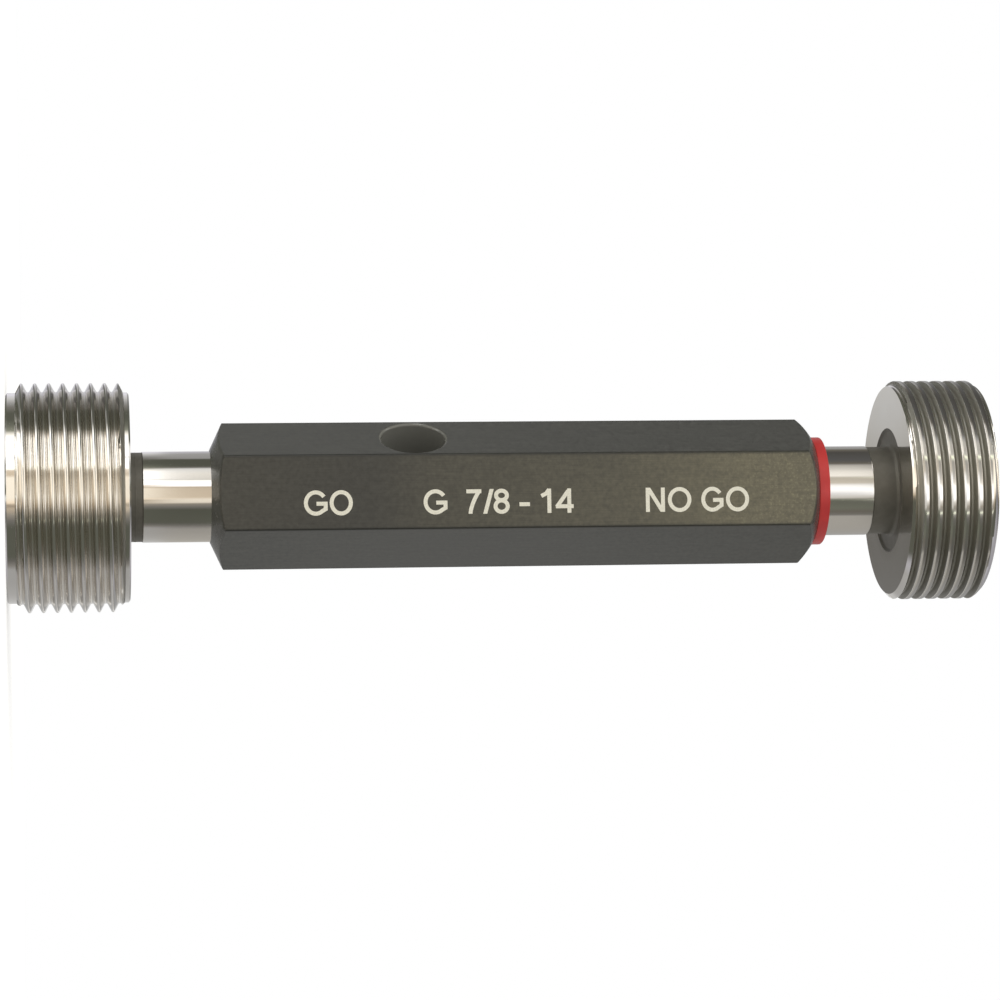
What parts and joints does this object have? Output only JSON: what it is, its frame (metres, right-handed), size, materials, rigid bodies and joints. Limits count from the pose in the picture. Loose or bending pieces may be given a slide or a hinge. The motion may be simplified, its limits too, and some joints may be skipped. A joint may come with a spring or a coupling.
{
  "type": "thread plug gauge",
  "caption": "Double-ended GO and NO-GO thread plug gauge: two threaded plugs on ground taper shanks in a dark hexagonal handle with a drift hole and a red ring at the NO-GO end.",
  "frame": {"origin": "centre of the GO plug's outer face, on which the gauge stands", "axes": "+Z along the gauge's axis from the GO plug to the NO-GO plug; -Y is the normal of the handle's marked flat"},
  "size_m": [0.0302, 0.0302, 0.13],
  "materials": {
    "gauge_steel": "ground hardened tool steel, unground and darkened at the necks",
    "handle_black": "satin black oxide on steel bar, with light engraved legends",
    "ring_red": "semi-gloss moulded plastic"
  },
  "bodies": {
    "root": {"go_member": "gauge_steel", "no_go_member": "gauge_steel", "handle": "handle_black", "no_go_ring": "ring_red"}
  },
  "joints": []
}
